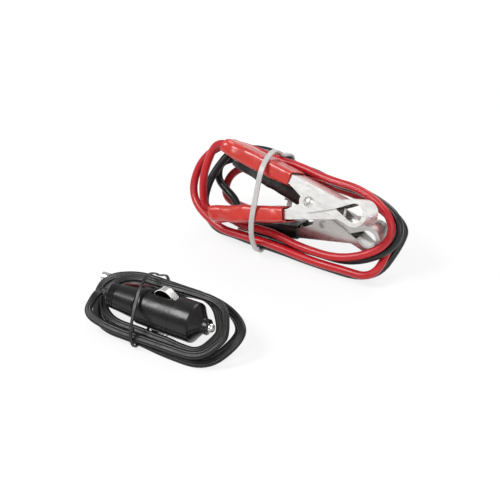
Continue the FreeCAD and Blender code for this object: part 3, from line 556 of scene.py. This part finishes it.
class LEADSET_OT_leads(bpy.types.Operator):
    """Red and black leads, wound in the clamp hank from their crimps to their terminals."""

    bl_idname = "leadset.leads"
    bl_label = "Leads"

    def execute(self, context):
        hank = hank_axes(*CLAMP_HANK)
        diameter = sizes().lead_diameter
        for colour, start, mouth, stations, length in (
                ("red", RED_START, RED_MOUTH, RED_ROUTE, RED_LENGTH),
                ("black", BLACK_START, BLACK_MOUTH, BLACK_ROUTE, BLACK_LENGTH)):
            start, mouth = Vector(start), Vector(mouth)
            heading = (mouth - start).normalized()
            points, here, heading = route_points(hank, mouth, heading, stations)
            points = [start, mouth - (mouth - start) * 0.25] + points + [here + heading * LEAD_DIAMETER]
            tint = tuple(getattr(colours(), colour + "_lead"))
            skin = soft_plastic(colour + "_skin", tint, 0.34, 500, 0.00004, coat=0.15, gloss=0.4)
            piece = cord_piece(colour + "_lead_run", points, diameter, skin)
            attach(piece, "root")
            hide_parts(colour + "_lead")
        return {"FINISHED"}


class LEADSET_OT_cord(bpy.types.Operator):
    """Plug's black cord, wound in its own hank from the grip to the connector."""

    bl_idname = "leadset.cord"
    bl_label = "Plug cord"

    def execute(self, context):
        hank = hank_axes(*PLUG_HANK)
        start = Vector(CORD_START)
        heading = Vector((-1, 0, 0))
        mouth = start + heading * CORD_RUN
        points, here, heading = route_points(hank, mouth, heading, CORD_ROUTE)
        target, axis = Vector(CONNECTOR_AT), Vector(CONNECTOR_AXIS)
        points += bend_corners(here, heading, target, axis, even_reach(here, heading, target, axis))
        points = [start, mouth] + points + [target + axis * CORD_DIAMETER]
        skin = soft_plastic("cord_skin", tuple(colours().black_lead), 0.36, 500, 0.00004, gloss=0.35)
        width = sizes().cord_diameter
        piece = cord_piece("plug_cord_run", points, width, skin, twin_section(width))
        face_front(piece.data, points, TWIN_FRONT_TURN)
        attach(piece, "root")
        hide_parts("plug_cord")
        return {"FINISHED"}


class LEADSET_OT_sleeves(bpy.types.Operator):
    """Soft vinyl sleeves on the clips' handles, dented and rounded by handling."""

    bl_idname = "leadset.sleeves"
    bl_label = "Sleeves"

    def execute(self, context):
        for index, (node, body) in enumerate((
                ("red_clip_outer_sleeve", "root"), ("red_clip_inner_sleeve", "red_inner_half"),
                ("black_clip_outer_sleeve", "root"), ("black_clip_inner_sleeve", "black_inner_half"))):
            colour = node.split("_")[0]
            name = colour + "_vinyl_skin"
            skin = bpy.data.materials.get(name) or soft_plastic(
                name, tuple(getattr(colours(), colour + "_vinyl")), 0.3, 120, 0.0003, coat=0.3)
            piece = bpy.data.objects.new(node + "_soft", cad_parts[node].data.copy())
            context.collection.objects.link(piece)
            self.soften(context, piece)
            self.mould(piece.data, Axes(*(RED_CLIP if colour == "red" else BLACK_CLIP)), 7.3 * index)
            piece.data.materials.clear()
            piece.data.materials.append(skin)
            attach(piece, body)
            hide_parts(node)
        return {"FINISHED"}

    def soften(self, context, piece):
        grid = piece.modifiers.new("grid", "REMESH")
        grid.mode = "VOXEL"
        grid.voxel_size = sizes().sleeve_voxel
        smooth = piece.modifiers.new("smooth", "SMOOTH")
        smooth.factor = 0.5
        smooth.iterations = 12
        mesh = bpy.data.meshes.new_from_object(piece.evaluated_get(context.evaluated_depsgraph_get()))
        piece.modifiers.clear()
        piece.data = mesh
        for face in mesh.polygons:
            face.use_smooth = True

    def mould(self, mesh, axes, seed):
        """Rounds a sleeve's corners towards its free end and dents it, both skins together."""
        places = [axes.local(vertex.co / MM) for vertex in mesh.vertices]
        depth = sizes().sleeve_dent / MM
        spans = {}
        for place in places:
            low, high = spans.setdefault(round(place.x), ([99.0, 99.0], [-99.0, -99.0]))
            for side in (0, 1):
                low[side] = min(low[side], place[side + 1])
                high[side] = max(high[side], place[side + 1])
        for vertex, place in zip(mesh.vertices, places):
            middle, half = self.section(spans, place.x)
            up, out = place.y - middle[0], place.z - middle[1]
            corner = min(1.0, abs(up * out) / (half[0] * half[1])) ** 2
            rear = min(1.0, max(0.0, (SLEEVE_FREE_FROM - place.x) / SLEEVE_FREE_RUN))
            spot = (place.x / DENT_LENGTH, place.y / DENT_BREADTH, place.z / DENT_BREADTH + seed)
            share = DENT_HELD_SHARE + (1 - DENT_HELD_SHARE) * rear
            dent = perlin.noise(Vector(spot)) * (depth * share)
            strapped = math.exp(-((place.x - SLEEVE_STRAP_AT) / SLEEVE_STRAP_RUN) ** 2)
            dent = max(dent, -DENT_HELD_DEPTH - rear) + SLEEVE_FULLNESS * (1 - rear)
            if dent > 0:
                dent = min(dent, SLEEVE_MOST_FULL * (1 - strapped))
            radius = max(1.0, math.hypot(up, out))
            pull = 1 - corner * (SLEEVE_HELD_ROUNDING + SLEEVE_ROUNDING * rear) + dent / radius
            vertex.co = axes.point(place.x, middle[0] + up * pull, middle[1] + out * pull) * MM

    def section(self, spans, x):
        """Middle and half size of a sleeve's section, averaged along it."""
        lows, highs = [0.0, 0.0], [0.0, 0.0]
        total = 0.0
        for key, (low, high) in spans.items():
            share = max(0.0, 1 - abs(key - x) / SECTION_REACH)
            if share:
                total += share
                for side in (0, 1):
                    lows[side] += low[side] * share
                    highs[side] += high[side] * share
        middle = [(low + high) / 2 / total for low, high in zip(lows, highs)]
        half = [max(1.0, (high - low) / 2 / total) for low, high in zip(lows, highs)]
        return middle, half


class LEADSET_OT_clips(bpy.types.Operator):
    """Plated finish of the clips, their rivets, springs, crimped wire ends and terminals."""

    bl_idname = "leadset.clips"
    bl_label = "Clips"

    def execute(self, context):
        plate = bright_metal("nickel_plate", tuple(colours().plate), 0.3, (1, 1, 6))
        rivet = bright_metal("rivet_plate", (0.70, 0.69, 0.67), 0.26)
        wire = bright_metal("spring_wire", (0.45, 0.45, 0.46), 0.3)
        copper = bright_metal("copper_strands", (0.75, 0.36, 0.2), 0.35, (8, 1, 1))
        tin = bright_metal("tin_plate", (0.66, 0.66, 0.64), 0.3)
        for colour in ("red", "black"):
            dress(plate, colour + "_clip_outer_jaw", colour + "_clip_inner_jaw")
            dress(rivet, colour + "_clip_rivet")
            dress(wire, colour + "_clip_spring")
            dress(copper, colour + "_lead_conductor")
            dress(tin, colour + "_terminal_pin")
            tint = tuple(getattr(colours(), colour + "_vinyl"))
            vinyl = soft_plastic(colour + "_terminal_vinyl", tint, 0.32, 200, 0.0001, coat=0.2)
            dress(vinyl, colour + "_terminal_sleeve")
        return {"FINISHED"}


class LEADSET_OT_plug(bpy.types.Operator):
    """Plug's moulded shell, contacts, fuse and strain relief, and the connector on its cord."""

    bl_idname = "leadset.plug"
    bl_label = "Plug"

    def execute(self, context):
        shell = soft_plastic("plug_shell", tuple(colours().plug_black), 0.26, 700, 0.00003, gloss=0.4)
        nickel = bright_metal("contact_nickel", (0.80, 0.79, 0.77), 0.16)
        skin = soft_plastic("relief_skin", tuple(colours().black_lead), 0.45, 500, 0.00005)
        dress(shell, "plug_barrel", "plug_rear_grip", "plug_nose_cap", "plug_contact_carrier")
        dress(nickel, "plug_centre_pin", "plug_upper_contact", "plug_lower_contact", "plug_fuse_caps",
              "connector_shell")
        dress(clear_glass("fuse_glass", (0.92, 0.95, 0.94)), "plug_fuse_tube")
        wire = bright_metal("plug_spring_wire", (0.5, 0.5, 0.5), 0.3)
        dress(wire, "plug_rear_terminal")
        self.spring(context, wire)
        dress(skin, "plug_strain_relief", "plug_return_core", "connector_insulator")
        dress(soft_plastic("live_core_skin", tuple(colours().red_lead), 0.4, 500, 0.00004), "plug_live_core")
        dress(soft_plastic("connector_vinyl", (0.12, 0.008, 0.008), 0.35, 400, 0.00005), "connector_body")
        return {"FINISHED"}

    def spring(self, context, wire):
        """Pin's coil spring, copied from its part in spring wire."""
        node = "plug_pin_spring"
        piece = bpy.data.objects.new(node + "_coil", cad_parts[node].data.copy())
        context.collection.objects.link(piece)
        piece.data.materials.clear()
        piece.data.materials.append(wire)
        low, high = (Vector(corner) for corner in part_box(node))
        seat = (low + high) / 2
        seat.x = low.x
        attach(piece, "root")
        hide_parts(node)
        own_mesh(piece)


class LEADSET_OT_straps(bpy.types.Operator):
    """Clear strap round the clamp hank and black wire tie round the plug's."""

    bl_idname = "leadset.straps"
    bl_label = "Straps"

    def execute(self, context):
        dress(clear_nylon("strap_nylon", tuple(colours().nylon)), "clamp_hank_tie")
        dress(soft_plastic("tie_skin", tuple(colours().plug_black), 0.42, 600, 0.00005), "plug_hank_tie")
        return {"FINISHED"}


class LEADSET_PT_panel(bpy.types.Panel):
    """Lists the lead set's pieces."""

    bl_idname = "LEADSET_PT_panel"
    bl_label = "Lead set"
    bl_space_type = "VIEW_3D"
    bl_region_type = "UI"
    bl_category = "Lead Set"

    def draw(self, context):
        for operator in OPERATORS:
            self.layout.operator(operator.bl_idname)


OPERATORS = (LEADSET_OT_stage, LEADSET_OT_leads, LEADSET_OT_cord, LEADSET_OT_sleeves, LEADSET_OT_clips,
             LEADSET_OT_plug, LEADSET_OT_straps)
CLASSES = (LeadSetSizes, LeadSetColours) + OPERATORS + (LEADSET_PT_panel,)


def register():
    for cls in CLASSES:
        bpy.utils.register_class(cls)
    bpy.types.Scene.lead_set_sizes = bpy.props.PointerProperty(type=LeadSetSizes)
    bpy.types.Scene.lead_set_colours = bpy.props.PointerProperty(type=LeadSetColours)


def unregister():
    del bpy.types.Scene.lead_set_colours
    del bpy.types.Scene.lead_set_sizes
    for cls in reversed(CLASSES):
        bpy.utils.unregister_class(cls)


def main():
    register()
    bpy.ops.leadset.stage()
    bpy.ops.leadset.leads()
    bpy.ops.leadset.cord()
    bpy.ops.leadset.sleeves()
    bpy.ops.leadset.clips()
    bpy.ops.leadset.plug()
    bpy.ops.leadset.straps()


if __name__ == "__main__":
    main()
